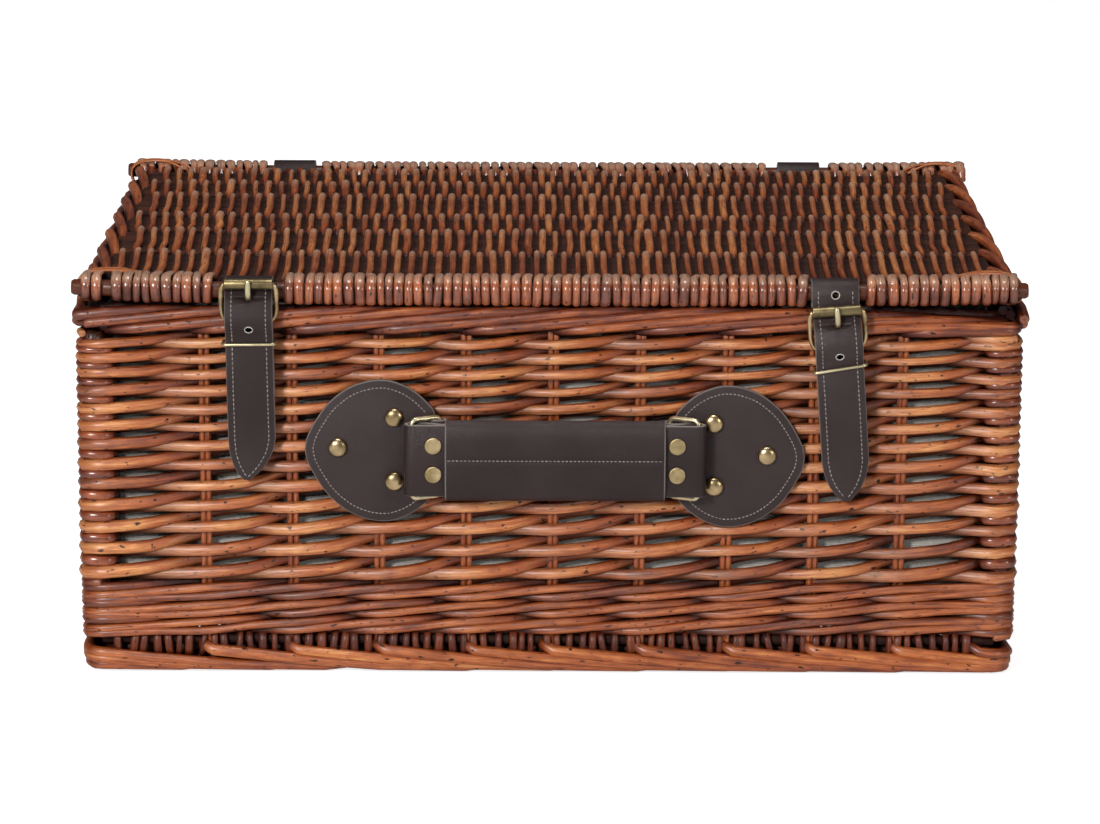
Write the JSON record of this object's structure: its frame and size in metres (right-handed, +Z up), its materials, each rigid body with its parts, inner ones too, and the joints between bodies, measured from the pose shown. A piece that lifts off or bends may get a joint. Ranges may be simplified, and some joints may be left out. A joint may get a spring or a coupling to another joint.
{
  "type": "picnic basket",
  "caption": "Rectangular woven willow picnic basket with a hinged lid, buckled leather straps and a leather carrying handle on the front.",
  "frame": {"origin": "centre of the whole outline on the ground, under the basket", "axes": "+Z up, +X to the right seen from the front, the handle and buckles face -Y"},
  "size_m": [0.473, 0.3382, 0.2044],
  "materials": {
    "willow": "varnished",
    "lid_willow": "varnished",
    "leather": "smooth",
    "brass": "antiqued",
    "lining": "plain weave"
  },
  "bodies": {
    "basket": {"foot_border": "willow", "base_panel": "willow", "front_wall": "willow", "back_wall": "willow", "left_wall": "willow", "right_wall": "willow", "front_left_post": "willow", "front_right_post": "willow", "back_right_post": "willow", "back_left_post": "willow", "rim_front": "willow", "rim_back": "willow", "rim_left": "willow", "rim_right": "willow", "body_lining": "lining", "hinge_strap_left": "leather", "buckle_tab_left": "leather", "handle_patch_left": "leather", "hinge_strap_right": "leather", "buckle_tab_right": "leather", "handle_patch_right": "leather", "hinge_rivet_left_low": "brass", "hinge_rivet_left_high": "brass", "hinge_rivet_right_low": "brass", "hinge_rivet_right_high": "brass", "tab_rivet_left": "brass", "tab_rivet_right": "brass", "patch_rivet_left_high": "brass", "patch_rivet_left_low": "brass", "patch_rivet_left_outer": "brass", "patch_rivet_right_high": "brass", "patch_rivet_right_low": "brass", "patch_rivet_right_outer": "brass"},
    "lid": {"lid_front_stick": "lid_willow", "lid_back_stick": "lid_willow", "lid_side_left": "lid_willow", "lid_side_right": "lid_willow", "lid_panel": "lid_willow"},
    "handle": {"handle_grip": "leather", "handle_end_left": "leather", "handle_end_right": "leather", "end_rivet_left_high": "brass", "end_rivet_left_low": "brass", "end_rivet_right_high": "brass", "end_rivet_right_low": "brass"},
    "strap_left": {"strap_left": "leather"},
    "buckle_frame_left": {"buckle_frame_left": "brass"},
    "prong_left": {"prong_left": "brass"},
    "roller_left": {"roller_left": "brass"},
    "keeper_left": {"keeper_left": "brass"},
    "ring_left": {"ring_left": "brass"},
    "strap_right": {"strap_right": "leather"},
    "buckle_frame_right": {"buckle_frame_right": "brass"},
    "prong_right": {"prong_right": "brass"},
    "roller_right": {"roller_right": "brass"},
    "keeper_right": {"keeper_right": "brass"},
    "ring_right": {"ring_right": "brass"}
  },
  "joints": [
    {"name": "lid_hinge", "type": "hinge", "parent": "basket", "child": "lid", "pos_m": [0, 0.16143, 0.1965], "axis": [-1, 0, 0], "range_deg": [0, 115], "deforming": ["strap_left", "strap_right"]},
    {"name": "strap_left_swing", "type": "hinge", "parent": "lid", "child": "strap_left", "pos_m": [0, -0.15007, 0.1965], "axis": [1, 0, 0], "range_deg": [0, 72]},
    {"name": "strap_right_swing", "type": "hinge", "parent": "lid", "child": "strap_right", "pos_m": [0, -0.15007, 0.1965], "axis": [1, 0, 0], "range_deg": [0, 72]},
    {"name": "buckle_left_turn", "type": "hinge", "parent": "basket", "child": "buckle_frame_left", "pos_m": [-0.14745, -0.15823, 0.183], "axis": [0.9999, 0, 0.011], "range_deg": [0, 85]},
    {"name": "prong_left_turn", "type": "hinge", "parent": "buckle_frame_left", "child": "prong_left", "pos_m": [-0.14745, -0.15823, 0.183], "axis": [0.9999, 0, 0.011], "range_deg": [0, 35]},
    {"name": "roller_left_spin", "type": "hinge", "parent": "buckle_frame_left", "child": "roller_left", "pos_m": [-0.14766, -0.16053, 0.20196], "axis": [0.9999, 0, 0.011], "continuous": true},
    {"name": "keeper_left_slide", "type": "slide", "parent": "basket", "child": "keeper_left", "axis": [-0.011, 0, 0.9999], "range_m": [-0.005, 0.0005]},
    {"name": "buckle_right_turn", "type": "hinge", "parent": "basket", "child": "buckle_frame_right", "pos_m": [0.14185, -0.15823, 0.17058], "axis": [0.9969, 0, 0.0789], "range_deg": [0, 85]},
    {"name": "prong_right_turn", "type": "hinge", "parent": "buckle_frame_right", "child": "prong_right", "pos_m": [0.14185, -0.15823, 0.17058], "axis": [0.9969, 0, 0.0789], "range_deg": [0, 35]},
    {"name": "roller_right_spin", "type": "hinge", "parent": "buckle_frame_right", "child": "roller_right", "pos_m": [0.14036, -0.16053, 0.18948], "axis": [0.9969, 0, 0.0789], "continuous": true},
    {"name": "keeper_right_slide", "type": "slide", "parent": "basket", "child": "keeper_right", "axis": [-0.0789, 0, 0.9969], "range_m": [-0.005, 0.0005]},
    {"name": "handle_pull", "type": "slide", "parent": "basket", "child": "handle", "axis": [0, -1, 0], "range_m": [0, 0.004]},
    {"name": "ring_left_turn", "type": "hinge", "parent": "basket", "child": "ring_left", "pos_m": [-0.054, -0.15498, 0.1142], "axis": [0, 0, 1], "range_deg": [0, 18.4]},
    {"name": "ring_right_turn", "type": "hinge", "parent": "basket", "child": "ring_right", "pos_m": [0.0596, -0.15498, 0.1142], "axis": [0, 0, -1], "range_deg": [0, 18.4]}
  ],
  "couplings": [
    {"joint": "strap_left_swing", "follows": "lid_hinge", "ratio": 0.62},
    {"joint": "strap_right_swing", "follows": "lid_hinge", "ratio": 0.62},
    {"joint": "ring_left_turn", "follows": "handle_pull", "rad_per_m": 79.92},
    {"joint": "ring_right_turn", "follows": "handle_pull", "rad_per_m": 79.92}
  ]
}
